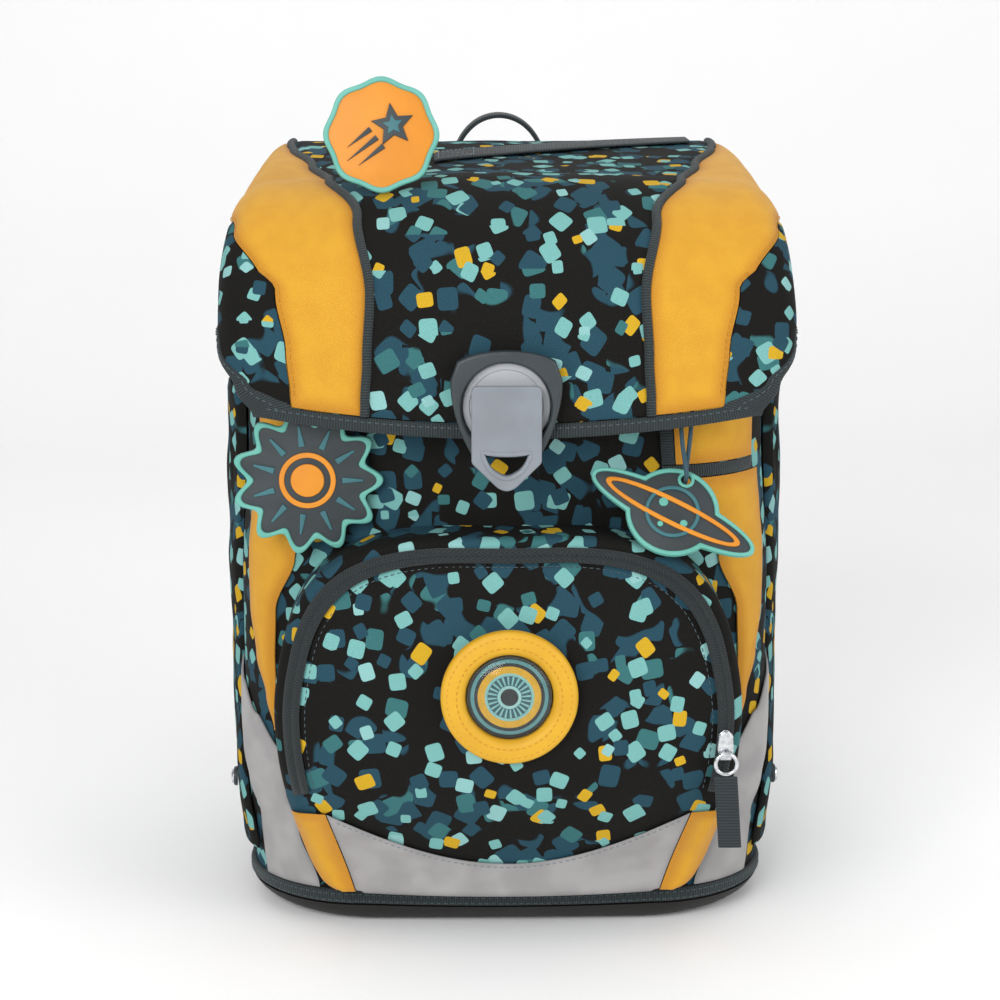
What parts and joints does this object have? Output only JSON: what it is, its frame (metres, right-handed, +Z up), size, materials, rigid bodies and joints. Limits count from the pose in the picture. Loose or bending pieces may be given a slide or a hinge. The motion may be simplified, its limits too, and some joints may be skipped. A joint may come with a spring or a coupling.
{
  "type": "school ransel",
  "caption": "Boxy school backpack with a curved lid over its front, a domed zip pocket, side pockets, a lever clasp, a stiff base and padded shoulder straps.",
  "frame": {"origin": "centre of the base's underside, which rests on the floor", "axes": "+Z up, -Y out of the front pocket, +X towards the bag's right side as seen from the front"},
  "size_m": [0.287, 0.3308, 0.4143],
  "materials": {
    "printed_cloth": "woven, printed",
    "petrol_tape": "ribbed tape",
    "yellow_cloth": "fine woven",
    "reflective_cloth": "satin reflective",
    "base_plastic": "matt",
    "stud_metal": "satin",
    "yellow_rubber": "satin",
    "lens_backing": "gloss, printed",
    "lens_clear": "clear gloss",
    "frame_plastic": "satin",
    "plate_plastic": "satin",
    "dark_webbing": "ribbed webbing",
    "padding_cloth": "mesh cloth",
    "badge_dark": "soft moulded",
    "badge_orange": "soft moulded",
    "chrome_metal": "polished"
  },
  "bodies": {
    "bag": {"body_shell": "printed_cloth", "base_tray": "base_plastic", "base_tape": "petrol_tape", "lid_centre_panel": "printed_cloth", "lid_yellow_panel_left": "yellow_cloth", "lid_yellow_panel_right": "yellow_cloth", "lid_ear_left": "printed_cloth", "lid_ear_right": "printed_cloth", "lid_piping_left": "petrol_tape", "lid_piping_right": "petrol_tape", "lid_binding": "petrol_tape", "front_pocket": "printed_cloth", "pocket_zip": "petrol_tape", "body_yellow_panel_left": "yellow_cloth", "body_yellow_panel_right": "yellow_cloth", "body_front_trim_left": "petrol_tape", "body_front_trim_right": "petrol_tape", "body_front_band_left": "petrol_tape", "body_front_band_right": "petrol_tape", "body_upper_yellow_left": "yellow_cloth", "body_upper_yellow_right": "yellow_cloth", "reflective_panel_left": "reflective_cloth", "reflective_panel_right": "reflective_cloth", "reflective_panel_centre": "reflective_cloth", "yellow_strip_left": "yellow_cloth", "yellow_strip_right": "yellow_cloth", "side_pocket_left": "printed_cloth", "side_pocket_right": "printed_cloth", "side_stud_left": "stud_metal", "side_stud_right": "stud_metal", "lens_ring": "yellow_rubber", "lens_disc": "lens_backing", "lens": "lens_clear", "buckle_frame": "frame_plastic", "buckle_disc": "plate_plastic", "top_strap": "dark_webbing", "grab_handle": "dark_webbing", "back_pad": "padding_cloth", "shoulder_strap_left": "padding_cloth", "shoulder_strap_right": "padding_cloth", "strap_webbing_left": "dark_webbing", "strap_webbing_right": "dark_webbing", "left_badge": "badge_dark", "pendant_badge": "badge_dark", "pendant_cord": "petrol_tape", "top_badge": "badge_orange", "zip_slider": "chrome_metal", "zip_ring": "chrome_metal", "zip_tab": "dark_webbing"},
    "lever": {"buckle_lever": "plate_plastic"}
  },
  "joints": [
    {"name": "clasp_lever", "type": "hinge", "parent": "bag", "child": "lever", "pos_m": [-0.001, -0.127, 0.27], "axis": [-1, 0, 0], "range_deg": [0, 25]}
  ]
}
